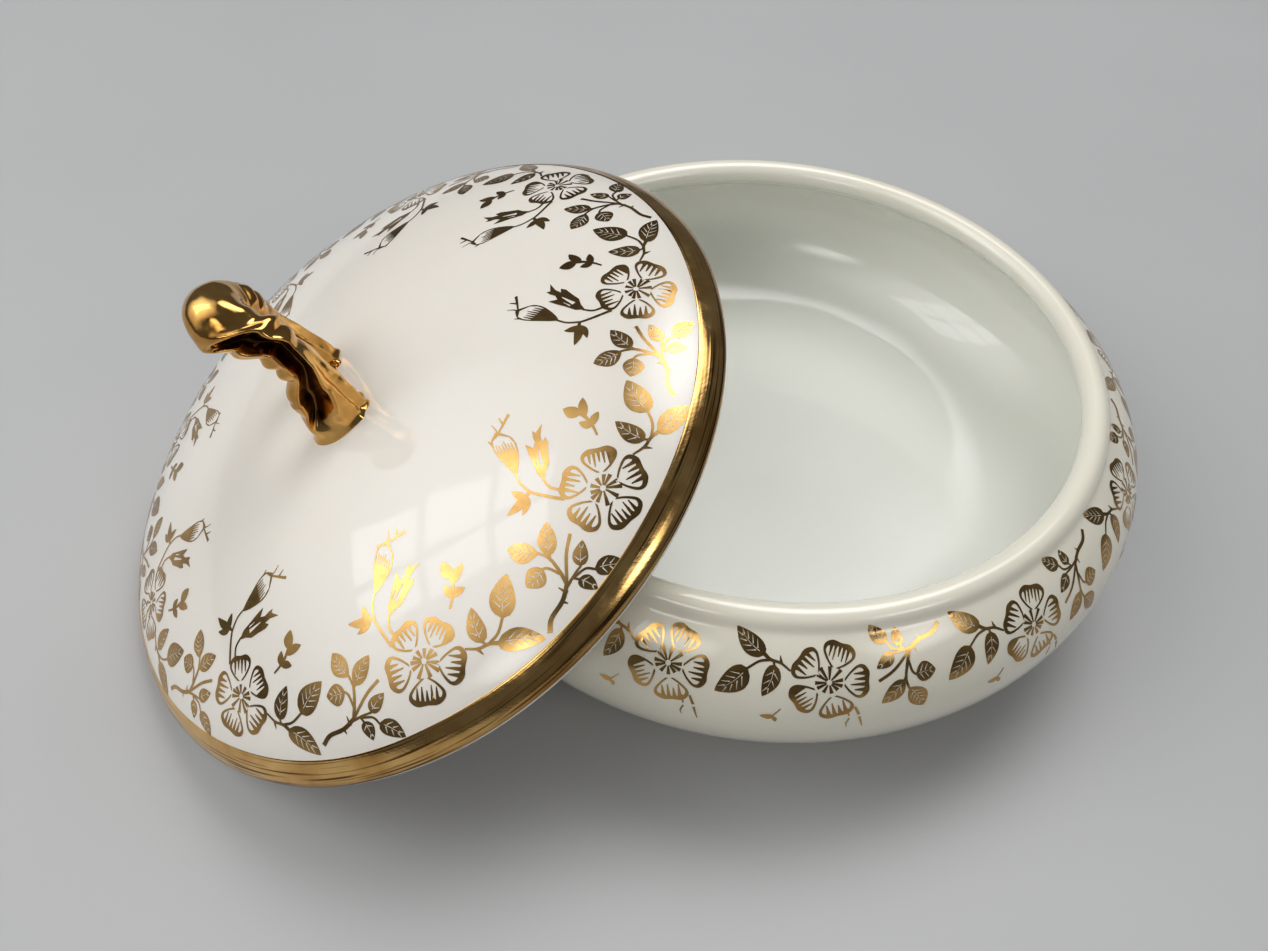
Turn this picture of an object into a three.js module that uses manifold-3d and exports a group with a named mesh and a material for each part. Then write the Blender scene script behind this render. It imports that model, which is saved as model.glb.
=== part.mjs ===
// A round porcelain trinket box: a squat, round-bellied bowl and a domed lid with a gilt,
// leafy loop handle. The lid is off the bowl. Its low edge stands on the table, and the
// locating flange under it leans on the bowl's rim.
// Millimetres, +Z up. The lid leans towards -X, and the table is z = 0.
import * as THREE from "three";
import { mergeVertices } from "three/addons/utils/BufferGeometryUtils.js";
import Module from "manifold-3d";

const wasm = await Module();
wasm.setup();

const TURN_STEPS = 60; // facets round the bowl and the lid
const CLEARANCE = 0.3; // gap kept between two pieces that touch

// ---- the bowl, about its own vertical axis ----
const RIM_TOP = 32.4; // height of the bowl's mouth
const LIP_RADIUS = 46; // from the axis to the middle of the rounded lip
const LIP_HALF_WIDTH = 2;
const BELLY_RADIUS = 54.8; // widest circle
const BELLY_HEIGHT = 20;
const WALL = 4;
const SHOULDER_WALL = 2.7; // the wall thins towards the rim
const FOOT_OUTER = 30;
const FOOT_WIDTH = 3;
const FOOT_RECESS = 1.6; // the base inside the foot ring stands this far off the table
const FLOOR_HEIGHT = 5.6; // middle of the inside floor above the table
const FLOOR_SLOPE = 0.3; // the floor rises this much towards the wall
const SHOULDER_RISE = 15.3; // half-height of the ellipse that forms the shoulder
const UNDERSIDE_DROP = 18.7; // half-height of the ellipse that forms the lower belly

// ---- the lid, about its own axis, with its widest circle at z = 0 ----
const LID_RADIUS = 48.6;
const LID_DOME = 14; // height of the dome above the widest circle
const DOME_FULLNESS = 0.6; // exponent of the dome's curve: less is fuller
const LID_WALL = 4;
const EDGE_RADIUS = 1.1; // rounding under the widest circle
const FLANGE_OUTER = 42.6; // slips inside the bowl's mouth
const FLANGE_WALL = 2.2;
const FLANGE_DEPTH = 3.4; // below the flat ledge
const FLANGE_DRAFT = 0.15; // each side of the flange leans in by this much
const FLANGE_CHAMFER = 0.6;
const LID_TILT = THREE.MathUtils.degToRad(30.6);
const LID_OFFSET = 53.1; // from the bowl's axis to the centre of the leaning lid

// ---- the handle, a gilt leafy strap looped over the middle of the lid ----
const HANDLE_HEIGHT = 18.7; // centre of the crown above the dome
const HANDLE_HALF_SPAN = 5.6; // from the lid's axis to the middle of each leg
const HANDLE_YAW = 98; // direction of the loop round the lid's axis, in degrees
const HANDLE_SHIFT = 2.4; // the loop stands this far off the lid's axis, to its low side
// Sizes of the strap at these shares of its length, from the end of either leg to the crown.
// The edges are measured across the strap from the plane of the loop, + to the low side of
// the lid. The near leg is broader than the far one and winds more.
const LEG_SHARES = [0, 0.09, 0.18, 0.26, 0.33, 0.39, 0.44, 0.5];
const LOW_EDGE = {
  near: [4, 2.8, 1.5, -1, -0.6, 1.9, 4.4, 4.3],
  far: [3.6, 2.6, 2, 1.6, 1.6, 2.4, 3.8, 4.3],
};
const HIGH_EDGE = {
  near: [-5, -5, -5.2, -5.4, -5.1, -4.6, -3.3, -2.7],
  far: [-3.8, -3.1, -2.6, -2.5, -2.5, -2.5, -2.6, -2.7],
};
const HALF_THICKNESS = [3.3, 2.3, 2, 1.9, 2, 2.4, 3.2, 3.5];
const GUTTER_AT = [0.5, 0.4, 0.12, 0, -0.2, 0.05, 0.8, 1.1]; // 1 is the low edge, -1 the high
const GUTTER_DEPTH = 1.7; // of the channel up the outer face of each leg
const LOBE_SIZE = 1; // of the leaf-like lobes along the low side

// Points along part of an ellipse, from one angle to the other, in degrees.
function arc(centre, radii, fromDeg, toDeg, steps) {
  return Array.from({ length: steps + 1 }, (_, i) => {
    const angle = THREE.MathUtils.degToRad(fromDeg + ((toDeg - fromDeg) * i) / steps);
    return new THREE.Vector2(
      centre[0] + radii[0] * Math.cos(angle),
      centre[1] + radii[1] * Math.sin(angle),
    );
  });
}

// A solid of revolution about Z from an outline of (radius, height) points.
function turned(outline, steps = TURN_STEPS) {
  const geometry = new THREE.LatheGeometry(outline, steps);
  geometry.rotateX(Math.PI / 2);
  return geometry;
}

// A closed mesh as a manifold-3d solid.
function solid(geometry) {
  const bare = geometry.clone();
  bare.deleteAttribute("normal");
  bare.deleteAttribute("uv");
  const merged = mergeVertices(bare, 1e-4);
  return new wasm.Manifold(
    new wasm.Mesh({
      numProp: 3,
      vertProperties: merged.attributes.position.array,
      triVerts: new Uint32Array(merged.index.array),
    }),
  );
}

// A manifold-3d solid as a three.js geometry.
function geometryOf(shape) {
  const mesh = shape.getMesh();
  const geometry = new THREE.BufferGeometry();
  geometry.setAttribute("position", new THREE.BufferAttribute(mesh.vertProperties, 3));
  geometry.setIndex(new THREE.BufferAttribute(mesh.triVerts, 1));
  geometry.computeVertexNormals();
  return geometry;
}

// A closed strap that follows a curve near the XZ plane. Its section gives how far the
// surface stands out of the loop, and across it along Y, at each angle.
function strap(curve, section, steps = 72, sides = 40) {
  const across = new THREE.Vector3(0, 1, 0);
  const positions = [];
  for (let i = 0; i <= steps; i++) {
    const along = i / steps;
    const middle = curve.getPointAt(along);
    const tangent = curve.getTangentAt(along).setY(0).normalize();
    const outward = new THREE.Vector3().crossVectors(tangent, across);
    for (let k = 0; k < sides; k++) {
      const [out, aside] = section(along, (2 * Math.PI * k) / sides);
      const point = middle.clone().addScaledVector(outward, out).addScaledVector(across, aside);
      positions.push(...point.toArray());
    }
  }
  const start = positions.length / 3;
  positions.push(...curve.getPointAt(0).toArray(), ...curve.getPointAt(1).toArray());
  const faces = [];
  for (let k = 0; k < sides; k++) {
    const next = (k + 1) % sides;
    for (let i = 0; i < steps; i++) {
      const a = i * sides + k;
      const b = i * sides + next;
      faces.push(a, b + sides, b, a, a + sides, b + sides);
    }
    faces.push(start, k, next);
    faces.push(start + 1, steps * sides + next, steps * sides + k);
  }
  const geometry = new THREE.BufferGeometry();
  geometry.setAttribute("position", new THREE.Float32BufferAttribute(positions, 3));
  geometry.setIndex(faces);
  return geometry;
}

// A value that passes smoothly from each leg station's to the next.
function eased(share, values) {
  const last = values.length - 2;
  const at = Math.min(LEG_SHARES.findLastIndex((station) => station <= share), last);
  const t = (share - LEG_SHARES[at]) / (LEG_SHARES[at + 1] - LEG_SHARES[at]);
  return THREE.MathUtils.lerp(values[at], values[at + 1], t * t * (3 - 2 * t));
}

const { smoothstep } = THREE.MathUtils;

function bell(distance, reach) {
  return Math.exp(-Math.pow(distance / reach, 2));
}

// Height of the lid's outer surface at a distance from its axis.
function domeHeight(radius) {
  const share = Math.min(radius / LID_RADIUS, 1);
  return LID_DOME * Math.pow(1 - share * share, DOME_FULLNESS);
}

function bowlOutline() {
  const bellyCentre = [FOOT_OUTER, BELLY_HEIGHT];
  const outerWidth = BELLY_RADIUS - FOOT_OUTER;
  const innerWidth = outerWidth - WALL;
  const lipRadii = [LIP_HALF_WIDTH, LIP_HALF_WIDTH];
  const creaseDeg = 43; // where the shoulder meets the lip, round the belly's ellipse
  const lipStartDeg = 20; // the same, round the lip
  const undersideStartDeg = -87; // just outside the foot ring
  return [
    new THREE.Vector2(0, FOOT_RECESS),
    new THREE.Vector2(FOOT_OUTER - FOOT_WIDTH - 1, FOOT_RECESS),
    new THREE.Vector2(FOOT_OUTER - FOOT_WIDTH, 0),
    new THREE.Vector2(FOOT_OUTER, 0),
    ...arc(bellyCentre, [outerWidth, UNDERSIDE_DROP], undersideStartDeg, 0, 11),
    ...arc(bellyCentre, [outerWidth, SHOULDER_RISE], 0, creaseDeg, 7).slice(1),
    ...arc([LIP_RADIUS, RIM_TOP - LIP_HALF_WIDTH], lipRadii, lipStartDeg, 180, 8),
    ...arc(bellyCentre, [innerWidth, SHOULDER_RISE - SHOULDER_WALL], creaseDeg - 1, 0, 6),
    ...arc(
      bellyCentre,
      [innerWidth, BELLY_HEIGHT - FLOOR_HEIGHT - FLOOR_SLOPE],
      0,
      -90,
      9,
    ).slice(1),
    new THREE.Vector2(0, FLOOR_HEIGHT),
  ];
}

// The porcelain dome with its rounded edge, its flat ledge and the flange that locates it.
function lidOutline() {
  const flangeInner = FLANGE_OUTER - FLANGE_WALL;
  const ledge = -EDGE_RADIUS;
  const flangeEnd = ledge - FLANGE_DEPTH;
  const innerRings = 4;
  const domeRings = 11;
  const underside = Array.from({ length: innerRings + 1 }, (_, i) => {
    const radius = (flangeInner * i) / innerRings;
    return new THREE.Vector2(radius, domeHeight(radius) - LID_WALL);
  });
  // The rings crowd towards the edge, where the dome turns down.
  const dome = Array.from({ length: domeRings }, (_, i) => {
    const radius = LID_RADIUS * Math.cos((Math.PI / 2) * ((i + 1) / domeRings));
    return new THREE.Vector2(Math.max(radius, 0), domeHeight(radius));
  });
  dome[domeRings - 1].x = 0;
  return [
    ...underside,
    new THREE.Vector2(flangeInner + FLANGE_DRAFT, flangeEnd + FLANGE_CHAMFER),
    new THREE.Vector2(flangeInner + FLANGE_DRAFT + FLANGE_CHAMFER, flangeEnd),
    new THREE.Vector2(FLANGE_OUTER - FLANGE_DRAFT - FLANGE_CHAMFER, flangeEnd),
    new THREE.Vector2(FLANGE_OUTER - FLANGE_DRAFT, flangeEnd + FLANGE_CHAMFER),
    new THREE.Vector2(FLANGE_OUTER, ledge),
    ...arc([LID_RADIUS - EDGE_RADIUS, 0], [EDGE_RADIUS, EDGE_RADIUS], -90, 0, 5),
    ...dome,
  ];
}

// The space the lid fills below its outer surface, grown by the clearance.
function underDome() {
  const reach = LID_RADIUS / 2;
  const rings = 10;
  const outline = [new THREE.Vector2(0, -LID_DOME), new THREE.Vector2(reach, -LID_DOME)];
  for (let i = rings; i >= 0; i--) {
    const radius = (reach * i) / rings;
    outline.push(new THREE.Vector2(radius, domeHeight(radius) + CLEARANCE));
  }
  return solid(turned(outline));
}

// The strap's surface at a share of its length. Angle 0 faces out of the loop, and a
// quarter turn from it faces the low side of the lid.
function strapSection(along, angle) {
  const end = Math.min(along, 1 - along);
  const leg = along < 0.5 ? "near" : "far";
  const facing = Math.cos(angle);
  const side = Math.sin(angle);
  const low = eased(end, LOW_EDGE[leg]);
  const high = eased(end, HIGH_EDGE[leg]);
  const across = (low + high) / 2 + ((low - high) / 2) * side;
  const out = eased(end, HALF_THICKNESS) * Math.sign(facing) * Math.pow(Math.abs(facing), 0.85);
  const outerFace = Math.min(Math.max(3 * facing, 0), 1);
  const strength = smoothstep(end, 0.06, 0.13) * (1 - smoothstep(end, 0.4, 0.45));
  const gutter = GUTTER_DEPTH * strength * bell(side - eased(end, GUTTER_AT), 0.32) * outerFace;
  const lobes = Math.abs(Math.sin(Math.PI * (20 * along + 0.1))) * bell(end - 0.27, 0.09);
  return [out - gutter, across + LOBE_SIZE * lobes * bell(side - 1, 0.35)];
}

// The strap rises from its near foot, swells to a crown and comes down to its far foot.
function handleShape() {
  const rise = [
    [-1, -0.12],
    [-1.05, 0.12],
    [-1, 0.43],
    [-0.78, 0.77],
    [-0.28, 0.99],
  ];
  const arch = [...rise, ...rise.map(([x, height]) => [-x, height]).reverse()];
  const planar = new THREE.CatmullRomCurve3(
    arch.map(
      ([x, height]) =>
        new THREE.Vector3(x * HANDLE_HALF_SPAN, 0, LID_DOME + height * HANDLE_HEIGHT),
    ),
  );
  return solid(strap(planar, strapSection))
    .rotate([0, 0, HANDLE_YAW])
    .translate([-HANDLE_SHIFT, 0, 0])
    .subtract(underDome());
}

const porcelain = { color: 0xf1ede4, roughness: 0.12, metalness: 0 };
const gold = { color: 0xc9923a, roughness: 0.16, metalness: 1 };

function piece(name, geometry, look) {
  const mesh = new THREE.Mesh(geometry, new THREE.MeshStandardMaterial(look));
  mesh.name = name;
  return mesh;
}

const assembly = new THREE.Group();
assembly.add(piece("bowl", turned(bowlOutline()), porcelain));

// The lid and the handle fired on to it lean together. The low edge just meets the table.
const leaningLid = new THREE.Group();
leaningLid.add(piece("lid", turned(lidOutline()), porcelain));
leaningLid.add(piece("handle", geometryOf(handleShape()), gold));
leaningLid.rotation.y = -LID_TILT;
leaningLid.position.set(
  -LID_OFFSET,
  0,
  (LID_RADIUS - EDGE_RADIUS) * Math.sin(LID_TILT) + EDGE_RADIUS,
);
assembly.add(leaningLid);

// The origin is on the table, under the middle of the whole object.
const bounds = new THREE.Box3().setFromObject(assembly, true);
const middle = bounds.getCenter(new THREE.Vector3());
assembly.position.set(-middle.x, -middle.y, -bounds.min.z);

const part = new THREE.Group();
part.add(assembly);

export default part;
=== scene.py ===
"""A porcelain trinket box: a round-bellied bowl, and its domed lid leaning on the bowl's rim.

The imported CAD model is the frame. Every piece here is made in millimetres, then scaled
to metres. The bowl and the lid are turned from fine outlines, and the handle is a strap
swept along a loop. The gold flowers and the gold band are thin sheets that follow the
glaze. The flowers are drawn flat, then laid round the lid and the bowl.
"""
import math

import bpy
import numpy as np
from mathutils import Matrix, Vector, noise
from mathutils.geometry import delaunay_2d_cdt


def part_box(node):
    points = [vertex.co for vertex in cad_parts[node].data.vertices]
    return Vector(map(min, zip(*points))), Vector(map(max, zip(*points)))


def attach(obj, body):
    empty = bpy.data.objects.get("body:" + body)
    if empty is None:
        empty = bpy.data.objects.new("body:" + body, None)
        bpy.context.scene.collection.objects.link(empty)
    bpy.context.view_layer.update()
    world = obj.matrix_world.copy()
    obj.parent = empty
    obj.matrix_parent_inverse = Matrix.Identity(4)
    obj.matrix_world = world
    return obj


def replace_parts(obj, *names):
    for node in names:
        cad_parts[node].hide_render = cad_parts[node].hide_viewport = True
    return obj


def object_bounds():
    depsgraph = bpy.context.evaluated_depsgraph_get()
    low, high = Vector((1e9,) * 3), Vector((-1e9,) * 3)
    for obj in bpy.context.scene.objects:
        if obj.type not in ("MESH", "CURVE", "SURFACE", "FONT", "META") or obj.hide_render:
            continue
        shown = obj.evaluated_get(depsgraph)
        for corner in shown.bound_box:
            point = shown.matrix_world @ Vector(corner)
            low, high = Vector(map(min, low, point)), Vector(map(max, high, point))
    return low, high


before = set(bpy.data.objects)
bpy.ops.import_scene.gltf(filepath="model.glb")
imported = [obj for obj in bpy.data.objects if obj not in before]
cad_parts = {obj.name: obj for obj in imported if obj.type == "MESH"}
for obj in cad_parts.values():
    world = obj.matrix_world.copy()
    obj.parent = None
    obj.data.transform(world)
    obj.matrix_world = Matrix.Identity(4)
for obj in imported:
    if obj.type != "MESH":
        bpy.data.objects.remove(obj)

cad_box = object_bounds()
MM = 0.001

# ---- driving sizes, in mm, from the frame or the same as the CAD's ----
bowl_low, bowl_high = (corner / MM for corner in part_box("bowl"))
lid_low, lid_high = (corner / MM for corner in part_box("lid"))
BELLY_RADIUS = (bowl_high.y - bowl_low.y) / 2
BOWL_AXIS_X = bowl_high.x - BELLY_RADIUS
RIM_TOP = bowl_high.z
BELLY_HEIGHT = 20
SHOULDER_RISE = 15.3  # half-heights of the ellipses above and below the belly
UNDERSIDE_DROP = 18.7
WALL = 4
SHOULDER_WALL = 2.7  # the wall thins towards the rim
FLOOR_HEIGHT = 5.6
FLOOR_SLOPE = 0.3
FOOT_OUTER = 30
FOOT_WIDTH = 3
FOOT_RECESS = 1.6
LIP_RADIUS = 46
LIP_HALF_WIDTH = 2

LID_RADIUS = (lid_high.y - lid_low.y) / 2
LID_DOME = 14
DOME_FULLNESS = 0.6  # exponent of the dome's curve: less is fuller
EDGE_RADIUS = 1.1
FLANGE_OUTER = 42.6
FLANGE_WALL = 2.2
FLANGE_DEPTH = 3.4
FLANGE_DRAFT = 0.3
LID_TILT = math.radians(30.6)

HANDLE_HEIGHT = 18.7  # centre of the crown above the dome
HANDLE_HALF_SPAN = 5.6
HANDLE_YAW = math.radians(98)
HANDLE_SHIFT = 2.4  # the loop stands this far off the lid's axis, to its low side

# ---- finish ----
TURN_STEPS = 220  # facets round the bowl and the lid
OUTLINE_STEP = 0.45
CORNER_ROUNDING = 0.4
UNEVENNESS = 0.05  # how far the fired wall strays from true
UNEVEN_SPACING = 16
GOLD_LIFT = 0.03  # the fired flowers stand this far off the glaze
BAND_LIFT = 0.05
BAND_WIDTH = 4.35
STREAK_RELIEF = 0.02
INSIDE_FADE = 5  # over this distance past the lip, the bowl takes its cooler inside tint
INK_GRID = 0.7  # spacing of the points that let a gold sheet follow the curve of the glaze


# ---------------------------------------------------------------- outlines of revolution
def arc(centre, radii, from_degrees, to_degrees, steps=24):
    """Points along part of an ellipse."""
    angles = np.radians(np.linspace(from_degrees, to_degrees, steps + 1))
    return [
        (centre[0] + radii[0] * math.cos(a), centre[1] + radii[1] * math.sin(a)) for a in angles
    ]


class Outline:
    """A smooth outline of (radius, height) points, measured along its length.

    Going along it, the outside of the solid lies on the right.
    """

    def __init__(self, corners):
        corners = np.array(corners, float)
        length = np.append(0, np.cumsum(np.linalg.norm(np.diff(corners, axis=0), axis=1)))
        count = int(length[-1] / OUTLINE_STEP)
        self.distance = np.linspace(0, length[-1], count + 1)
        even = np.column_stack([np.interp(self.distance, length, corners[:, k]) for k in (0, 1)])
        self.points = self.rounded(even)
        along = np.gradient(self.points, axis=0)
        along /= np.linalg.norm(along, axis=1)[:, None]
        self.normals = np.column_stack([along[:, 1], -along[:, 0]])

    @staticmethod
    def rounded(points):
        """The same points with each corner softened."""
        reach = int(3 * CORNER_ROUNDING / OUTLINE_STEP) + 1
        offsets = np.arange(-reach, reach + 1)
        weights = np.exp(-((offsets * OUTLINE_STEP / CORNER_ROUNDING) ** 2) / 2)
        weights /= weights.sum()
        padded = np.vstack([points[:1]] * reach + [points] + [points[-1:]] * reach)
        soft = sum(w * padded[i : i + len(points)] for i, w in enumerate(weights))
        soft[0], soft[-1] = points[0], points[-1]
        return soft

    def at(self, distance):
        """Radius, height and outward normal at each distance along the outline."""
        both = np.hstack([self.points, self.normals])
        return np.column_stack([np.interp(distance, self.distance, both[:, k]) for k in range(4)])

    def where(self, test):
        """Distance of the first point for which the test of (radius, height) holds."""
        return next(d for d, (r, z) in zip(self.distance, self.points) if test(r, z))


def bowl_outline():
    """From the middle of the underside, out and up over the lip, and down to the floor."""
    centre = (FOOT_OUTER, BELLY_HEIGHT)
    outer = BELLY_RADIUS - FOOT_OUTER
    inner = outer - WALL
    lip_centre = (LIP_RADIUS, RIM_TOP - LIP_HALF_WIDTH)
    lip = (LIP_HALF_WIDTH, LIP_HALF_WIDTH)
    underside_start = -87  # angles round the ellipses, in degrees: just outside the foot ring
    crease = 43  # where the shoulder meets the lip
    inner_crease = 39
    lip_end = 190
    return Outline(
        [(0, FOOT_RECESS), (FOOT_OUTER - FOOT_WIDTH - 1, FOOT_RECESS)]
        + [(FOOT_OUTER - FOOT_WIDTH, 0), (FOOT_OUTER, 0)]
        + arc(centre, (outer, UNDERSIDE_DROP), underside_start, 0)
        + arc(centre, (outer, SHOULDER_RISE), 0, crease)
        + arc(lip_centre, lip, 0, lip_end)
        + arc(centre, (inner, SHOULDER_RISE - SHOULDER_WALL), inner_crease, 0)
        + arc(centre, (inner, BELLY_HEIGHT - FLOOR_HEIGHT - FLOOR_SLOPE), 0, -90)
        + [(0, FLOOR_HEIGHT)]
    )


def dome_height(radius):
    share = np.clip(np.asarray(radius) / LID_RADIUS, 0, 1)
    return LID_DOME * (1 - share**2) ** DOME_FULLNESS


def lid_outline():
    """From the middle of the underside, out and round the flange and edge, and up the dome."""
    flange_inner = FLANGE_OUTER - FLANGE_WALL
    flange_end = -EDGE_RADIUS - FLANGE_DEPTH
    hollow_reach = flange_inner - 0.8  # from here the wall flares out to meet the flange
    underside = [(r, float(dome_height(r)) - WALL) for r in np.linspace(0, hollow_reach, 12)]
    dome = [
        (LID_RADIUS * math.cos(a), float(dome_height(LID_RADIUS * math.cos(a))))
        for a in np.linspace(0, math.pi / 2, 60)
    ]
    return Outline(
        underside
        + [(flange_inner, 0), (flange_inner + FLANGE_DRAFT, flange_end)]
        + [(FLANGE_OUTER - FLANGE_DRAFT, flange_end), (FLANGE_OUTER, -EDGE_RADIUS)]
        + arc((LID_RADIUS - EDGE_RADIUS, 0), (EDGE_RADIUS, EDGE_RADIUS), -90, 0, 8)
        + dome[1:-1]
        + [(0, LID_DOME)]
    )


def uneven(points, seed):
    """A slow, slight waviness, as clay takes in drying and firing."""
    shift = Vector((seed, 2 * seed, 0))
    return UNEVENNESS * np.array(
        [noise.noise(Vector(p) / UNEVEN_SPACING + shift) for p in points]
    )


class Turned:
    """The surface of an outline turned about its axis, and placed in the row frame."""

    def __init__(self, outline, place, seed):
        self.outline = outline
        self.place = place
        self.seed = seed

    def points(self, angle, distance, lift=0.0):
        """Points on the surface, in the piece's own frame, raised by lift."""
        radius, height, out, up = self.outline.at(distance).T
        around = np.column_stack([np.cos(angle), np.sin(angle)])
        base = np.column_stack([around * radius[:, None], height])
        normal = np.column_stack([around * out[:, None], up])
        return base + normal * (uneven(base, self.seed) + lift)[:, None]


# ------------------------------------------------------------------------- mesh building
def make_piece(name, points, faces, place, body, material):
    """A smooth-shaded mesh piece from points in mm in its own frame, riding on a body."""
    mesh = bpy.data.meshes.new(name)
    mesh.from_pydata([tuple(p) for p in points], [], faces)
    mesh.transform(Matrix.Scale(MM, 4) @ place)
    mesh.validate()
    mesh.shade_smooth()
    piece = bpy.data.objects.new(name, mesh)
    bpy.context.scene.collection.objects.link(piece)
    piece.data.materials.append(material)
    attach(piece, body)
    return piece


def paint(piece, name, values):
    """Stores a value for each point of a piece, for its material to read."""
    attribute = piece.data.attributes.new(name, "FLOAT", "POINT")
    attribute.data.foreach_set("value", values)


def ring_faces(rings, sides):
    """Quads between rings of points that close round on themselves."""
    faces = []
    for ring in range(rings - 1):
        for side in range(sides):
            after = (side + 1) % sides
            near, far = ring * sides, (ring + 1) * sides
            faces.append((near + side, near + after, far + after, far + side))
    return faces


def turn(name, surface, body, inside_from, material):
    """A closed solid of revolution with a single point at each end of its outline.

    Its "inside" attribute passes from 0 to 1 where the outline turns into the hollow.
    """
    distances = surface.outline.distance[1:-1]
    angles = np.linspace(0, 2 * math.pi, TURN_STEPS, endpoint=False)
    points = surface.points(np.tile(angles, len(distances)), np.repeat(distances, TURN_STEPS))
    ends = surface.points(np.zeros(2), surface.outline.distance[[0, -1]])
    faces = ring_faces(len(distances), TURN_STEPS)
    first, last = len(points), len(points) + 1
    top = (len(distances) - 1) * TURN_STEPS
    for side in range(TURN_STEPS):
        after = (side + 1) % TURN_STEPS
        faces.append((first, after, side))
        faces.append((last, top + side, top + after))
    piece = make_piece(
        name, np.vstack([points, ends]), faces, surface.place, body, material
    )
    inside = np.clip((distances - inside_from) / INSIDE_FADE, 0, 1)
    paint(piece, "inside", np.append(np.repeat(inside, TURN_STEPS), [0, inside[-1]]))
    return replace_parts(piece, body)


# ------------------------------------------------------------------ the flowers, drawn flat
# A drawing is two lists of closed outlines: ink, and gaps left in the ink. The flower's
# middle is at (0, 0), +x runs round the piece and +y towards the lid's middle, in mm.
def smooth(points, steps=6):
    """A curve through the points."""
    points = [Vector(p) for p in points]
    ends = [2 * points[0] - points[1]] + points + [2 * points[-1] - points[-2]]
    curve = []
    for before, start, end, after in zip(ends, ends[1:], ends[2:], ends[3:]):
        for t in np.linspace(0, 1, steps, endpoint=False):
            curve.append(
                0.5
                * (
                    2 * start
                    + (end - before) * t
                    + (2 * before - 5 * start + 4 * end - after) * t**2
                    + (3 * start - before - 3 * end + after) * t**3
                )
            )
    return curve + [points[-1]]


def stroke(points, start_width, end_width, steps=6):
    """The outline of a stroke along a curve, its width changing evenly."""
    curve = smooth(points, steps)
    left, right = [], []
    for i, point in enumerate(curve):
        ahead = curve[min(i + 1, len(curve) - 1)] - curve[max(i - 1, 0)]
        side = Vector((-ahead.y, ahead.x)).normalized()
        half = (start_width + (end_width - start_width) * i / (len(curve) - 1)) / 2
        left.append(point + side * half)
        right.append(point - side * half)
    return left + right[::-1]


def leaf(base, tip, width, veins=4, bend=0.06, fullest=0.72):
    """A pointed leaf with a midrib and slanting veins left open. Returns (ink, gaps)."""
    base, tip = Vector(base), Vector(tip)
    along = tip - base
    side = Vector((-along.y, along.x)).normalized()

    def spot(share, across):
        """A point at a share of the leaf's length, and of its half-width there."""
        half = width / 2 * math.sin(math.pi * share**fullest) ** 0.8
        bow = bend * along.length * math.sin(math.pi * share)
        return base + along * share + side * (bow + across * half)

    shares = np.linspace(0, 1, 13)
    ink = [spot(t, 1) for t in shares] + [spot(t, -1) for t in shares[-2:0:-1]]
    gaps = []
    if veins:
        gaps.append(stroke([spot(0.16, 0), spot(0.45, 0), spot(0.78, 0)], 0.11, 0.04, 3))
    for vein in range(veins):
        share = 0.24 + 0.46 * vein / max(veins - 1, 1)
        for across in (-1, 1):
            ends = [spot(share, 0.14 * across), spot(share + 0.16, 0.78 * across)]
            gaps.append(stroke(ends, 0.15, 0.05, 2))
    return [ink], gaps


def petal(degrees, teeth):
    """A broad petal: a fine outline, and a filled tip whose inner edge is cut into teeth."""
    spin = Matrix.Rotation(math.radians(degrees), 2)
    half = [(1.9, 0.5), (2.6, 1.35), (3.5, 2.05), (4.35, 2.05), (5.0, 1.2), (4.95, 0.0)]
    line = 0.36  # width of the outline

    def closed(points):
        mirrored = [(x, -y) for x, y in points[-2::-1]]
        return [spin @ p for p in smooth(points + mirrored, 4)]

    outside = closed(half)
    sides = [(x - line * (x > 4), y - line) for x, y in half[:4]]
    inside = [spin @ p for p in smooth([(1.6, 0.1)] + sides, 4)]
    below = [spin @ p for p in smooth([(1.6, -0.1)] + [(x, -y) for x, y in sides], 4)]
    fringe = []
    reach = sides[-1][1]
    for tooth in range(teeth):
        across = reach * (1 - 2 * (tooth + 0.5) / teeth)
        deep = 4.5 - 0.35 * (across / reach) ** 2
        shallow = 2.95 + 0.3 * math.sin(2.3 * tooth + degrees)
        step = reach / teeth
        fringe.append(spin @ Vector((deep, across + 0.27 * step)))
        fringe.append(spin @ Vector((deep - 0.1, across - 0.27 * step)))
        if tooth < teeth - 1:
            fringe.append(spin @ Vector((shallow, across - 0.8 * step)))
            fringe.append(spin @ Vector((shallow, across - 1.2 * step)))
    return [outside], [inside + fringe + below[::-1]]


def flower():
    """Five petals round a burst of stamens."""
    ink, gaps = [], []
    for i in range(5):
        one_ink, one_gap = petal(106 - 72 * i, teeth=5 + i % 2)
        ink += one_ink
        gaps += one_gap
    stamens = 11
    for i in range(stamens):
        angle = 2 * math.pi * (i + 0.25 * math.sin(5 * i)) / stamens
        way = Vector((math.cos(angle), math.sin(angle)))
        reach = 1.75 - 0.35 * way.y + 0.12 * math.sin(3 * i)
        ink.append(stroke([way * 0.35, way * reach], 0.18, 0.5, 3))
    return ink, gaps


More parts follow.
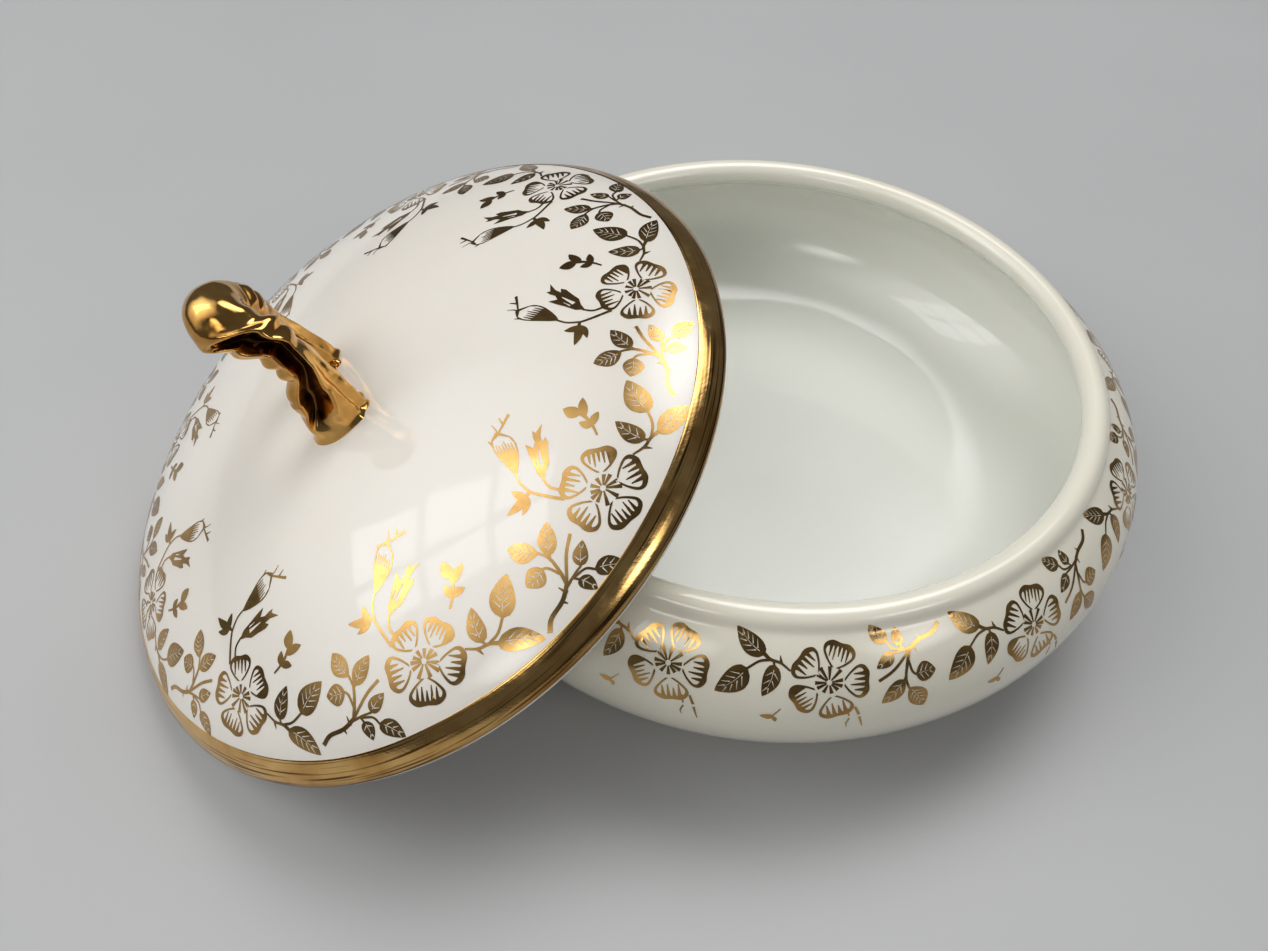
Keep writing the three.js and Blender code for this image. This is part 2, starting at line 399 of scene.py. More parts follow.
def opening_bud():
    """The larger bud: a striped goblet under an open outline, with a few prongs at its tip."""
    base, tip = Vector((-3.4, 10.1)), Vector((1.45, 15.3))
    along = tip - base
    side = Vector((-along.y, along.x)).normalized()
    shape = [(0, 0.15), (0.12, 0.6), (0.3, 1.1), (0.5, 1.55), (0.66, 1.7), (0.82, 1.45), (1, 0.3)]

    def spot(share, across):
        return base + along * share + side * across

    outside = smooth([spot(t, w) for t, w in shape])
    outside += smooth([spot(t, -w) for t, w in shape[::-1]])
    line = 0.22
    hollow = [spot(t, w - line) for t, w in shape[3:-1]] + [spot(0.93, 0)]
    hollow += [spot(t, line - w) for t, w in shape[-2:2:-1]]
    teeth = 6
    for tooth in range(teeth):
        across = -1.05 + 2.1 * tooth / (teeth - 1)
        top = 0.74 - 0.05 * abs(across) + 0.03 * math.sin(4 * tooth)
        hollow.append(spot(0.5, across - 0.16))
        hollow.append(spot(top, across - 0.06))
        hollow.append(spot(top, across + 0.06))
        hollow.append(spot(0.5, across + 0.16))
    prongs = [
        stroke([(1.3, 15.2), (1.9, 15.6), (2.5, 16.5)], 0.3, 0.12),
        stroke([(1.4, 15.1), (3.6, 15.05), (5.4, 15.0)], 0.22, 0.42),
        stroke([(3.3, 15.05), (4.2, 16.0)], 0.4, 0.15),
        stroke([(-0.9, 15.1), (-0.6, 15.7)], 0.3, 0.14),
    ]
    return [outside] + prongs, [hollow]


def closed_bud():
    """The smaller bud, with its sepals parted at the tip."""
    outside = [(-2.3, 6.6), (-2.0, 7.8), (-0.7, 9.2), (0.1, 10.1), (1.25, 11.1), (1.15, 9.9)]
    outside += [(2.1, 10.1), (2.8, 10.7), (3.6, 11.1), (3.5, 10.6), (5.2, 10.35), (3.4, 9.9)]
    outside += [(2.5, 9.3), (3.35, 9.2), (2.8, 8.6), (1.4, 7.95), (0.1, 7.2), (-1.1, 7.05)]
    gaps = [
        stroke([(-0.6, 7.9), (0.5, 8.7), (1.4, 9.3)], 0.5, 0.12),
        stroke([(-0.9, 8.4), (0.1, 9.2)], 0.2, 0.08),
    ]
    return [[Vector(p) for p in outside]], gaps


def bud_stems():
    """The two stems that carry the buds, with a three-lobed leaf on the longer one."""
    ink = [
        stroke([(-3.2, 3.3), (-4.4, 6.6), (-4.5, 7.7), (-4.2, 9.1), (-3.3, 10.3)], 0.42, 0.28),
        stroke([(-2.4, 4.2), (-2.75, 5.6), (-2.2, 6.9)], 0.38, 0.3),
        stroke([(-4.6, 7.3), (-5.6, 7.5)], 0.3, 0.7),
    ]
    for base, tip, width in (
        ((-5.2, 7.5), (-8.9, 7.85), 1.15),
        ((-5.5, 7.3), (-5.9, 9.3), 1.15),
        ((-5.2, 7.3), (-7.7, 6.3), 0.95),
    ):
        ink += leaf(base, tip, width, veins=0)[0]
    return ink, []


def sprig():
    """Four small round leaves on a short stem."""
    ink = [stroke([(5.7, 3.4), (6.6, 4.2), (7.5, 5.3), (8.1, 6.5)], 0.25, 0.55)]
    for base, tip, width in (
        ((6.8, 4.3), (6.7, 6.1), 1.1),
        ((6.8, 4.4), (8.8, 4.3), 1.0),
        ((8.0, 6.2), (8.15, 8.6), 1.8),
        ((7.8, 5.6), (10.4, 6.7), 1.15),
    ):
        ink += leaf(base, tip, width, veins=0, fullest=0.9)[0]
    return ink, []


def thorny_twig():
    """Three veined leaves on a short thorned stem, the lowest over the gilt edge."""
    ink = [
        stroke([(4.8, -1.4), (6.1, -2.3), (7.4, -2.65), (8.4, -3.4)], 0.25, 0.5),
        stroke([(6.0, -2.2), (6.2, -3.2)], 0.5, 0.08),
        stroke([(7.0, -2.5), (6.8, -1.8)], 0.3, 0.25),
        stroke([(7.4, -2.6), (8.8, -2.3), (10.3, -1.2)], 0.35, 0.3),
    ]
    gaps = []
    for base, tip, width, veins in (
        ((6.8, -2.1), (8.0, 2.0), 2.2, 3),
        ((10.1, -1.4), (13.7, 2.1), 3.1, 4),
        ((8.1, -3.1), (12.1, -6.4), 2.5, 4),
    ):
        leaf_ink, leaf_gaps = leaf(base, tip, width, veins)
        ink += leaf_ink
        gaps += leaf_gaps
    return ink, gaps


def leafy_branch():
    """Six leaves on a branching stem with a knob at its foot."""
    ink = [
        stroke([(-15.2, -5.2), (-14.1, -4.2), (-12.1, -3.75), (-10.5, -2.85)], 0.55, 0.5),
        stroke([(-10.6, -3.0), (-10.05, -1.3), (-9.7, 0.6), (-10.1, 2.1)], 0.45, 0.3),
        stroke([(-9.8, 0.2), (-9.4, 0.9)], 0.3, 0.3),
        stroke([(-10.2, -1.7), (-10.6, -0.1), (-11.3, 0.5)], 0.3, 0.3),
        stroke([(-10.6, -2.9), (-8.3, -0.75), (-6.2, 0.4)], 0.35, 0.42),
        stroke([(-10.7, -3.1), (-9.3, -2.85), (-8.2, -2.8)], 0.35, 0.25),
        stroke([(-9.7, -3.0), (-8.2, -3.4), (-7.6, -4.4)], 0.3, 0.25),
        stroke([(-9.7, -3.0), (-9.4, -3.6)], 0.25, 0.25),
        stroke([(-11.4, -2.4), (-11.2, -3.6)], 0.1, 0.4),
        stroke([(-12.2, -3.7), (-11.9, -4.4)], 0.4, 0.08),
    ]
    gaps = []
    for base, tip, width, veins, fullest in (
        ((-10.1, 1.9), (-12.1, 5.1), 2.5, 4, 1.0),
        ((-9.45, 0.7), (-6.6, 3.5), 2.2, 3, 0.8),
        ((-11.0, 0.4), (-13.7, 0.3), 2.6, 3, 0.85),
        ((-8.3, -2.8), (-6.0, -1.2), 1.75, 2, 0.7),
        ((-9.4, -3.5), (-9.0, -5.9), 1.5, 2, 0.7),
        ((-7.6, -4.2), (-5.4, -6.8), 2.0, 3, 0.7),
    ):
        leaf_ink, leaf_gaps = leaf(base, tip, width, veins, 0.05, fullest)
        ink += leaf_ink
        gaps += leaf_gaps
    return ink, gaps


def cut_stems():
    """What is left of the bud stems where the transfer is trimmed close under the flower."""
    ink = [
        stroke([(-3.3, 3.5), (-3.9, 4.8)], 0.3, 0.36),
        stroke([(-4.0, 5.2), (-4.6, 7.2)], 0.34, 0.12),
        stroke([(-2.5, 4.2), (-2.7, 4.9)], 0.25, 0.2),
        stroke([(-2.75, 5.3), (-2.5, 6.3), (-2.7, 7.0)], 0.26, 0.1),
        stroke([(5.6, 3.6), (6.5, 4.8)], 0.16, 0.24),
    ]
    for base, tip, width in (((6.3, 4.9), (8.0, 4.8), 0.8), ((6.4, 4.9), (6.0, 5.8), 0.6)):
        ink += leaf(base, tip, width, veins=0)[0]
    return ink, []


def anticlockwise(shape):
    """The same closed outline, reversed if it runs clockwise."""
    area = sum(a.cross(b) for a, b in zip(shape, shape[1:] + shape[:1]))
    return shape if area > 0 else shape[::-1]


def fill(drawing):
    """Triangles for a drawing: everything under ink, less the gaps. Returns (points, faces)."""
    ink = [shape for part in drawing for shape in part[0]]
    gaps = [shape for part in drawing for shape in part[1]]
    points, outlines = [], []
    for shape in ink + gaps:
        outlines.append(list(range(len(points), len(points) + len(shape))))
        points += anticlockwise([Vector((p[0], p[1])) for p in shape])
    low = np.min([tuple(p) for p in points], axis=0)
    high = np.max([tuple(p) for p in points], axis=0)
    for x in np.arange(low[0], high[0], INK_GRID):
        for y in np.arange(low[1], high[1], INK_GRID):
            points.append(Vector((x, y)))
    flat, _, triangles, _, _, owners = delaunay_2d_cdt(points, [], outlines, 0, 1e-5)
    kept = [
        tuple(face)
        for face, inside in zip(triangles, owners)
        if inside and max(inside) < len(ink)
    ]
    used = sorted({corner for face in kept for corner in face})
    number = {corner: i for i, corner in enumerate(used)}
    faces = []
    for face in kept:
        a, b, c = (flat[corner] for corner in face)
        turned_left = (b - a).cross(c - a) > 0
        face = face if turned_left else face[::-1]
        faces.append(tuple(number[corner] for corner in face))
    return np.array([tuple(flat[corner]) for corner in used]), faces


def lay_flowers(name, surface, repeats, body, material):
    """Lays drawings on a surface as one gold sheet.

    Each repeat is (points, faces, to_surface), and to_surface gives an angle and a distance
    along the outline for each flat point.
    """
    all_points, all_faces = [], []
    start = 0
    for flat, faces, to_surface in repeats:
        angle, distance = to_surface(flat)
        all_points.append(surface.points(angle, distance, GOLD_LIFT))
        all_faces += [tuple(corner + start for corner in face) for face in faces]
        start += len(flat)
    return make_piece(
        name, np.vstack(all_points), all_faces, surface.place, body, material
    )


def lid_flowers(surface, edge, material):
    """Nine sprays round the lid, just inside the gilt edge."""
    count = 9
    first = math.radians(-8.5)
    middle = 10.6  # from the lid's widest circle to each flower's middle
    drawn_radius = 40
    flat, faces = fill(
        [flower(), opening_bud(), closed_bud(), bud_stems(), sprig(), thorny_twig(), leafy_branch()]
    )
    repeats = []
    for i in range(count):
        turn_by = first + 2 * math.pi * i / count
        wander = 0.7 * math.sin(2.0 * i + 1.2)  # the strip was laid by hand

        def to_surface(flat, turn_by=turn_by, wander=wander):
            return turn_by + flat[:, 0] / drawn_radius, edge + middle + wander + flat[:, 1]

        repeats.append((flat, faces, to_surface))
    return lay_flowers("lid_flowers", surface, repeats, "lid", material)


def bowl_flowers(surface, crease, material):
    """The same strip, trimmed and upside down, round the bowl's shoulder.

    Its ends meet in a shorter gap with no branch in it.
    """
    count = 12
    first = math.radians(-101.3)
    short_gap = math.radians(21)
    spacing = (2 * math.pi - short_gap) / (count - 1)
    middle = 6.0  # from the crease under the lip to each flower's middle
    drawn_radius = 54
    ending = [flower(), cut_stems(), thorny_twig()]
    whole = fill(ending + [leafy_branch()])
    last = fill(ending)
    repeats = []
    for i in range(count):
        turn_by = first + spacing * i
        wander = 0.3 * math.sin(1.7 * i)
        flat, faces = last if i == count - 1 else whole

        def to_surface(flat, turn_by=turn_by, wander=wander):
            return turn_by - flat[:, 0] / drawn_radius, crease - middle - wander - flat[:, 1]

        repeats.append((flat, faces, to_surface))
    return lay_flowers("bowl_flowers", surface, repeats, "bowl", material)


def gilt_edge(surface, edge, material):
    """The brushed gold band round the lid's rim, with unsteady sides and streaks along it.

    Painted shade darkens the side that turns under; painted dark reflections follow the streaks.
    """
    steps = 480
    rows = 28
    turned_under = 0.15
    darkest = 0.5
    shaded_share = 0.45  # of the band's width, from its low side
    angles = np.linspace(0, 2 * math.pi, steps, endpoint=False)

    def wander(slowness, depth):
        """Noise that changes slowly round the lid."""
        around = [Vector((slowness * math.cos(a), slowness * math.sin(a), depth)) for a in angles]
        return np.array([noise.noise(p) for p in around])

    low = edge - turned_under + 0.12 * wander(3, 0)
    high = edge - turned_under + BAND_WIDTH + 0.5 * wander(2, 5)
    rings, painted_band_shade = [], []
    for row in range(rows):
        share = row / (rows - 1)
        streak = wander(4, 0.9 * row)
        on_glaze = 0 < row < rows - 1
        lift = BAND_LIFT + STREAK_RELIEF * streak if on_glaze else -GOLD_LIFT
        rings.append(surface.points(angles, low + (high - low) * share, lift))
        # painted shade on the low side, and painted dark reflections along the streaks
        shade = darkest * np.clip(1 - share / shaded_share, 0, 1)
        painted_band_shade.append(shade + np.clip(1.3 * streak, 0, 1))
    points, faces = np.vstack(rings), ring_faces(rows, steps)
    piece = make_piece(
        "lid_gilt_edge", points, faces, surface.place, "lid", material
    )
    paint(piece, "painted_shade", np.concatenate(painted_band_shade))


# -------------------------------------------------------------------------- the handle
# Sizes along each leg, in mm, at these shares of the loop's length from its end. The edges
# are measured across the strap from the plane of the loop, + to the lid's low side.
LEG_STATIONS = (0, 0.09, 0.18, 0.26, 0.33, 0.39, 0.44, 0.5)
LOW_EDGE = {
    "near": (4.0, 2.8, 1.5, -1.0, -0.6, 1.9, 4.4, 4.3),
    "far": (3.6, 2.6, 2.0, 1.6, 1.6, 2.4, 3.8, 4.3),
}
HIGH_EDGE = {
    "near": (-5.0, -5.0, -5.2, -5.4, -5.1, -4.6, -3.3, -2.7),
    "far": (-3.8, -3.1, -2.6, -2.5, -2.5, -2.5, -2.6, -2.7),
}
HALF_THICKNESS = (3.3, 2.3, 2.0, 1.9, 2.0, 2.4, 3.2, 3.5)
GUTTER_AT = (0.5, 0.4, 0.12, 0.0, -0.2, 0.05, 0.8, 1.1)  # 1 is the low edge, -1 the high
GUTTER_DEPTH = 2.0
RIDGE_HEIGHT = 0.8
RIM_HEIGHT = 0.5
LOBE_SIZE = 1.0
SCALLOP_SIZE = 0.7
FOLD_SIZE = 0.45
PLEAT_SIZE = 0.45
DENT_SEED = 1  # without one, noise_vector gives other dents on every run


def eased(share, values):
    """A value that passes smoothly from each leg station's to the next."""
    at = np.searchsorted(LEG_STATIONS, share, side="right") - 1
    at = min(max(at, 0), len(values) - 2)
    t = (share - LEG_STATIONS[at]) / (LEG_STATIONS[at + 1] - LEG_STATIONS[at])
    t = t * t * (3 - 2 * t)
    return values[at] * (1 - t) + values[at + 1] * t


def bell(distance, reach):
    return np.exp(-((distance / reach) ** 2))


def smooth_step(value, start, end):
    """Rises smoothly from 0 to 1 between start and end."""
    t = np.clip((value - start) / (end - start), 0, 1)
    return t * t * (3 - 2 * t)


def handle_curve(shares):
    """Middle of the strap at shares of its length, in the handle's own frame."""
    stations = [(-1, -0.12), (-1.05, 0.12), (-1, 0.43), (-0.78, 0.77), (-0.28, 0.99)]
    stations += [(-x, rise) for x, rise in stations[::-1]]
    points = [(x * HANDLE_HALF_SPAN, 0, LID_DOME + rise * HANDLE_HEIGHT) for x, rise in stations]
    curve = np.array([tuple(p) for p in smooth(points, 12)])
    length = np.append(0, np.cumsum(np.linalg.norm(np.diff(curve, axis=0), axis=1)))
    return np.column_stack([np.interp(shares * length[-1], length, curve[:, k]) for k in range(3)])


def beads(share, count, phase=0.0):
    """A row of rounded bumps along the strap, from 0 to 1."""
    return abs(math.sin(math.pi * (count * share + phase)))


def handle_section(share, angle):
    """How far the strap's surface stands out and across from its middle, and how recessed it is.

    Angle 0 faces out of the loop, and 90 degrees faces the lid's low side.
    """
    end = min(share, 1 - share)
    leg = "near" if share < 0.5 else "far"
    facing, side = np.cos(angle), np.sin(angle)
    low, high = eased(end, LOW_EDGE[leg]), eased(end, HIGH_EDGE[leg])
    across = (low + high) / 2 + (low - high) / 2 * np.sign(side) * np.abs(side) ** 0.9
    out = eased(end, HALF_THICKNESS) * np.sign(facing) * np.abs(facing) ** 0.85
    outer_face = np.clip(3 * facing, 0, 1)

    # A deep gutter winds up the outer face of each leg and swings out under the crown. It
    # has a sharp ridge on its high side and a thin rim on its low side.
    strength = smooth_step(end, 0.06, 0.13) * (1 - smooth_step(end, 0.40, 0.45)) * outer_face
    from_gutter = side - eased(end, GUTTER_AT)
    gutter = strength * bell(from_gutter, 0.32)
    ridge = strength * bell(from_gutter + 0.62, 0.2)
    rim = strength * bell(from_gutter - 0.5, 0.14)
    out = out - GUTTER_DEPTH * gutter + RIDGE_HEIGHT * ridge + RIM_HEIGHT * rim

    # Lobes like a leaf's edge below the rim, and smaller ones on the high side of the crown.
    lobes = beads(share, 20, 0.1) ** 0.8 * bell(end - 0.27, 0.09) * bell(side - 1, 0.35)
    scallops = beads(share, 19) * bell(end - 0.39, 0.06) * bell(side + 1, 0.35)
    across = across + LOBE_SIZE * lobes - SCALLOP_SIZE * scallops

    # Stepped folds run round the foot, and pleats run up from it on the high side.
    folds = bell(end, 0.05) * math.sin(2 * math.pi * end / 0.042 + 1)
    folds = folds * (1 - outer_face * bell(side, 0.35)) * (1 + 0.3 * np.sin(5 * angle))
    pleats = bell(end - 0.13, 0.1) * np.sin(8 * angle) * smooth_step(-side, 0.5, 0.8)
    swell = FOLD_SIZE * folds + PLEAT_SIZE * pleats
    return out + swell * facing, across + swell * side, gutter


def handle(lid_place, material):
    """The gilt loop: a folded foot, a guttered stem, a round crown and down again."""
    steps, sides = 240, 144
    shares = np.linspace(0, 1, steps + 1)
    middles = handle_curve(shares)
    angles = np.linspace(0, 2 * math.pi, sides, endpoint=False)
    across_way = np.array([0, 1, 0])
    rings, painted_gutter_shade = [], []
    for i, share in enumerate(shares):
        ahead = middles[min(i + 1, steps)] - middles[max(i - 1, 0)]
        ahead /= np.linalg.norm(ahead)
        out_way = np.cross(ahead, across_way)
        out, across, gutter = handle_section(share, angles)
        rings.append(middles[i] + np.outer(out, out_way) + np.outer(across, across_way))
        painted_gutter_shade.append(gutter)
    points = np.vstack(rings + [middles[:1], middles[-1:]])
    noise.seed_set(DENT_SEED)
    for amount, spacing in ((0.15, 2.4), (0.02, 0.8)):
        dents = [tuple(noise.noise_vector(Vector(p) / spacing)) for p in points]
        points += amount * np.array(dents)
    faces = [face[::-1] for face in ring_faces(steps + 1, sides)]
    first, last = len(points) - 2, len(points) - 1
    for side in range(sides):
        after = (side + 1) % sides
        faces.append((first, side, after))
        faces.append((last, steps * sides + after, steps * sides + side))
    place = lid_place @ Matrix.Translation((-HANDLE_SHIFT, 0, 0))
    place = place @ Matrix.Rotation(HANDLE_YAW, 4, "Z")
    piece = make_piece("gilt_handle", points, faces, place, "lid", material)
    # painted shade in the gutter, darkest along its deepest line
    paint(piece, "painted_shade", np.append(np.concatenate(painted_gutter_shade), [0, 0]))
    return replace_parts(piece, "handle")


# ------------------------------------------------------------------------- materials
class Nodes:
    """A material's node tree, with short calls for the nodes used here."""

    def __init__(self, name):
        self.material = bpy.data.materials.new(name)
        self.material.use_nodes = True
        self.tree = self.material.node_tree
        self.shader = self.tree.nodes["Principled BSDF"]
        self.where = self.tree.nodes.new("ShaderNodeTexCoord").outputs["Object"]

    def set(self, **values):
        for name, value in values.items():
            self.shader.inputs[name.replace("_", " ")].default_value = value

    def link(self, output, socket):
        self.tree.links.new(output, self.shader.inputs[socket])

    def stretched(self, scale):
        """Object coordinates scaled unevenly, for streaks."""
        node = self.tree.nodes.new("ShaderNodeMapping")
        node.inputs["Scale"].default_value = scale
        self.tree.links.new(self.where, node.inputs["Vector"])
        return node.outputs["Vector"]

    def noise(self, scale, detail=4.0, roughness=0.55, where=None):
        node = self.tree.nodes.new("ShaderNodeTexNoise")
        node.inputs["Scale"].default_value = scale
        node.inputs["Detail"].default_value = detail
        node.inputs["Roughness"].default_value = roughness
        self.tree.links.new(where or self.where, node.inputs["Vector"])
        return node.outputs["Fac"]

    def ramp(self, value, stops):
        """Colours or greys at positions along a value."""
        node = self.tree.nodes.new("ShaderNodeValToRGB")
        stops = list(stops)
        while len(node.color_ramp.elements) < len(stops):
            node.color_ramp.elements.new(0.5)
        for element, (position, colour) in zip(node.color_ramp.elements, stops):
            colour = (colour,) * 3 if isinstance(colour, (int, float)) else colour
            element.position = position
            element.color = (*colour, 1)
        self.tree.links.new(value, node.inputs["Fac"])
        return node.outputs["Color"]

    def attribute(self, name):
        node = self.tree.nodes.new("ShaderNodeAttribute")
        node.attribute_name = name
        return node.outputs["Fac"]

    def mix(self, share, colour, other):
        """From one colour towards a fixed other, by a share."""
        node = self.tree.nodes.new("ShaderNodeMix")
        node.data_type = "RGBA"
        node.inputs["B"].default_value = (*other, 1)
        self.tree.links.new(share, node.inputs["Factor"])
        self.tree.links.new(colour, node.inputs["A"])
        return node.outputs["Result"]

    def bump(self, value, distance, strength=1.0, under=None):
        node = self.tree.nodes.new("ShaderNodeBump")
        node.inputs["Strength"].default_value = strength
        node.inputs["Distance"].default_value = distance
        self.tree.links.new(value, node.inputs["Height"])
        if under is not None:
            self.tree.links.new(under, node.inputs["Normal"])
        return node.outputs["Normal"]


def porcelain(name, tone, bright_tone):
    """Warm white porcelain under a clear glaze, faintly uneven, with rare specks.

    It is cooler where a piece's inside attribute is 1.
    """
    nodes = Nodes(name)
    tint = nodes.ramp(nodes.noise(28), [(0.3, tone), (0.7, bright_tone)])
    tint = nodes.mix(nodes.attribute("inside"), tint, (0.855, 0.865, 0.80))
    nodes.link(tint, "Base Color")
    nodes.link(nodes.ramp(nodes.noise(90), [(0.35, 0.04), (0.75, 0.11)]), "Roughness")
    glaze = nodes.bump(nodes.noise(70, 2), 0.00012, 0.5)
    pits = nodes.ramp(nodes.noise(1400, 1), [(0.24, 0.0), (0.3, 1.0)])
    nodes.link(nodes.bump(pits, 0.00002, 0.25, glaze), "Normal")
    nodes.set(
        IOR=1.52,
        Coat_Weight=0.2,
        Coat_Roughness=0.03,
        Subsurface_Weight=0.12,
        Subsurface_Radius=(1.0, 0.8, 0.6),
        Subsurface_Scale=0.002,
    )
    return nodes.material


def gold(name, deep, bright, least_rough, most_rough, streaks, relief):
    """Burnished gold with slow changes of tone, rubbed spots and fine streaks.

    Where a piece carries painted shade, the gold there is darkened towards near-black.
    """
    nodes = Nodes(name)
    tone = nodes.ramp(nodes.noise(160, 5), [(0.32, deep), (0.68, bright)])
    # painted shade: a point attribute mixes the base colour towards a near-black brown
    painted_dark = nodes.ramp(nodes.attribute("painted_shade"), [(0.2, 0.0), (0.65, 1.0)])
    nodes.link(nodes.mix(painted_dark, tone, (0.11, 0.05, 0.014)), "Base Color")
    rubbed = nodes.noise(420, 6, 0.65)
    nodes.link(nodes.ramp(rubbed, [(0.35, least_rough), (0.72, most_rough)]), "Roughness")
    brushed = nodes.noise(1, 3, 0.6, nodes.stretched(streaks))
    worn = nodes.bump(brushed, relief, 0.5)
    nodes.link(nodes.bump(nodes.noise(2600, 2), relief / 3, 0.3, worn), "Normal")
    nodes.set(Metallic=1.0)
    return nodes.material


def floor_material():
    nodes = Nodes("pale_floor")
    tint = nodes.ramp(nodes.noise(6, 3), [(0.3, (0.47, 0.475, 0.48)), (0.7, (0.51, 0.515, 0.52))])
    nodes.link(tint, "Base Color")
    nodes.link(nodes.bump(nodes.noise(900, 3), 0.00005, 0.3), "Normal")
    nodes.set(Roughness=0.55)
    return nodes.material


# ------------------------------------------------------------------- stage, lights, camera
def floor():
    half = 3.0
    mesh = bpy.data.meshes.new("floor")
    corners = [(-half, -half, 0), (half, -half, 0), (half, half, 0), (-half, half, 0)]
    mesh.from_pydata(corners, [], [(0, 1, 2, 3)])
    plane = bpy.data.objects.new("floor", mesh)
    plane.location.z = cad_box[0].z - 0.00005
    plane.data.materials.append(floor_material())
    bpy.context.scene.collection.objects.link(plane)


def fade_edges(light):
    """Makes an area light brightest in its middle, as a curtained window is."""
    light.use_nodes = True
    tree = light.node_tree

    def calculate(operation, first, second=None):
        node = tree.nodes.new("ShaderNodeMath")
        node.operation = operation
        tree.links.new(first, node.inputs[0])
        if isinstance(second, float):
            node.inputs[1].default_value = second
        elif second is not None:
            tree.links.new(second, node.inputs[1])
        return node.outputs[0]

    split = tree.nodes.new("ShaderNodeSeparateXYZ")
    spot = tree.nodes.new("ShaderNodeNewGeometry").outputs["Parametric"]
    tree.links.new(spot, split.inputs[0])
    across = calculate("SINE", calculate("MULTIPLY", split.outputs["X"], math.pi))
    up = calculate("SINE", calculate("MULTIPLY", split.outputs["Y"], math.pi))
    tree.links.new(
        calculate("MULTIPLY", across, up), tree.nodes["Emission"].inputs["Strength"]
    )


def area_light(name, direction, distance, size, watts, colour=(1, 1, 1), faded=True):
    """A rectangular light, aimed at the middle of the object."""
    light = bpy.data.lights.new(name, "AREA")
    light.shape = "RECTANGLE"
    light.size, light.size_y = size
    light.energy = watts
    light.color = colour
    if faded:
        fade_edges(light)
    holder = bpy.data.objects.new(name, light)
    middle = (cad_box[0] + cad_box[1]) / 2
    way = Vector(direction).normalized()
    holder.location = middle + way * distance
    holder.rotation_euler = way.to_track_quat("Z", "Y").to_euler()
    bpy.context.scene.collection.objects.link(holder)


def window_panes(direction, distance, watts):
    """Small dim panes in front of the window's glow, which show in the glaze as a window."""
    way = Vector(direction).normalized()
    aside = way.cross(Vector((0, 0, 1))).normalized()
    above = aside.cross(way)
    width, height, bar = 0.11, 0.14, 0.02
    for column in (-0.5, 0.5):
        for row in (-1, 0, 1):
            middle = way * distance + aside * column * (width + bar) + above * row * (height + bar)
            name = f"pane_{column}_{row}"
            area_light(name, middle, middle.length, (width, height), watts, faded=False)


def lights():
    window = Vector((-0.70, 0.14, 0.70))
    area_light("window", window, 0.85, (1.1, 1.2), 9, (1.0, 0.99, 0.97))
    window_panes(window, 0.7, 0.08)
    area_light("overhead", (0.3, 0.28, 0.9), 0.9, (0.7, 0.7), 10)
    area_light("left_fill", (-0.5, -0.6, 0.6), 0.9, (0.4, 0.3), 1.6, (1.0, 0.98, 0.95))
    area_light("right_fill", (0.4, -0.7, 0.55), 0.9, (0.4, 0.3), 1.6, (1.0, 0.98, 0.95))
    world = bpy.data.worlds.new("studio")
    world.use_nodes = True
    background = world.node_tree.nodes["Background"]
    background.inputs["Color"].default_value = (0.78, 0.80, 0.84, 1)
    background.inputs["Strength"].default_value = 0.14
    bpy.context.scene.world = world


def camera():
    """Looks down at the lid from the front left, as a hand-held phone would."""
    place = Vector((-33.53, -111.71, 142.56)) * MM
    yaw, pitch, roll = 0.2942, 0.853, -0.047
    lens, sensor = 32.25, 36
    forward = Vector(
        (math.sin(yaw) * math.cos(pitch), math.cos(yaw) * math.cos(pitch), -math.sin(pitch))
    )
    level_right = Vector((math.cos(yaw), -math.sin(yaw), 0))
    level_down = forward.cross(level_right)
    right = math.cos(roll) * level_right + math.sin(roll) * level_down
    down = math.cos(roll) * level_down - math.sin(roll) * level_right
    turned = Matrix((right, -down, -forward)).transposed().to_4x4()
    data = bpy.data.cameras.new("camera")
    data.sensor_width = sensor
    data.lens = lens
    data.clip_start = 0.01
    holder = bpy.data.objects.new("camera", data)
    bpy.context.scene.collection.objects.link(holder)
    holder.matrix_world = Matrix.Translation(place) @ turned
    bpy.context.scene.camera = holder


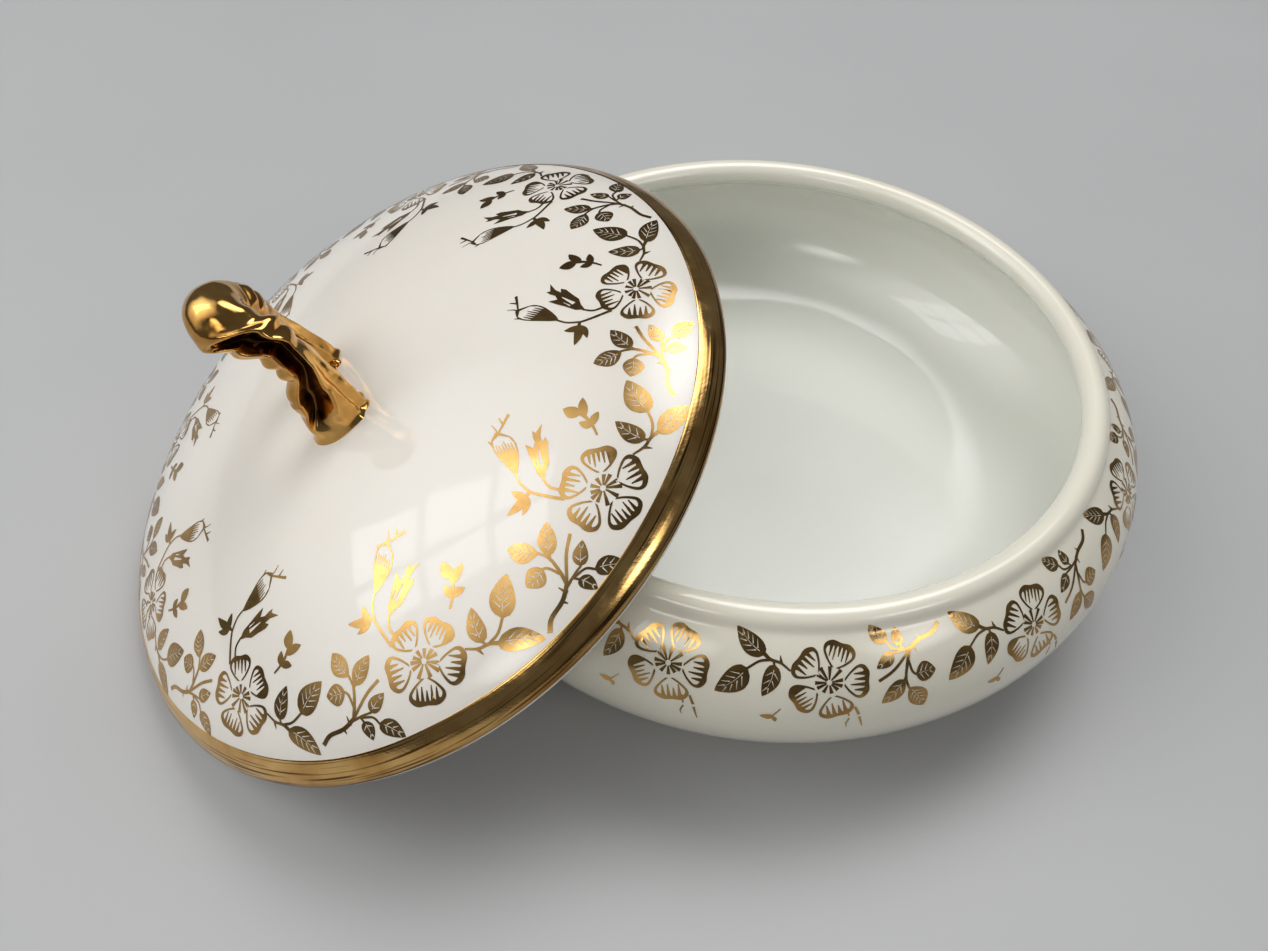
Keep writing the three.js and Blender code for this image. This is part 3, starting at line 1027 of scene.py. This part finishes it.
# -------------------------------------------------------------------------- the object
bowl_surface = Turned(bowl_outline(), Matrix.Translation((BOWL_AXIS_X, 0, 0)), seed=3)

# The lid leans with the rounding under its low edge on the table.
edge_circle = LID_RADIUS - EDGE_RADIUS
lid_middle = Vector(
    (
        lid_low.x + edge_circle * math.cos(LID_TILT) + EDGE_RADIUS,
        0,
        edge_circle * math.sin(LID_TILT) + EDGE_RADIUS,
    )
)
lid_place = Matrix.Translation(lid_middle) @ Matrix.Rotation(-LID_TILT, 4, "Y")
lid_surface = Turned(lid_outline(), lid_place, seed=7)

bowl_glaze = porcelain("bowl_porcelain", (0.83, 0.79, 0.655), (0.87, 0.835, 0.715))
lid_glaze = porcelain("lid_porcelain", (0.83, 0.785, 0.71), (0.87, 0.835, 0.77))
edge_gold = gold(
    "gilt_edge", (0.55, 0.30, 0.09), (0.86, 0.56, 0.21), 0.06, 0.22, (900, 900, 4000), 0.00002
)
flower_gold = gold(
    "gilt_flowers", (0.30, 0.175, 0.06), (0.62, 0.38, 0.13), 0.10, 0.24, (700, 700, 700), 0.00001
)
handle_gold = gold(
    "gilt_handle", (0.47, 0.225, 0.05), (0.86, 0.52, 0.165), 0.05, 0.18, (200, 200, 500), 0.00003
)

lip_top = bowl_surface.outline.where(lambda r, z: r < LIP_RADIUS and z > BELLY_HEIGHT)
turn("porcelain_bowl", bowl_surface, "bowl", lip_top, bowl_glaze)
turn("porcelain_lid", lid_surface, "lid", lid_surface.outline.distance[-1], lid_glaze)
bowl_crease = bowl_surface.outline.where(
    lambda r, z: r < LIP_RADIUS + LIP_HALF_WIDTH + 0.2 and z > BELLY_HEIGHT
)
lid_edge = lid_surface.outline.where(lambda r, z: r > FLANGE_OUTER + 2 and z >= 0)
gilt_edge(lid_surface, lid_edge, edge_gold)
lid_flowers(lid_surface, lid_edge, flower_gold)
bowl_flowers(bowl_surface, bowl_crease, flower_gold)
handle(lid_place, handle_gold)

floor()
lights()
camera()
bpy.context.scene.view_settings.view_transform = "Standard"
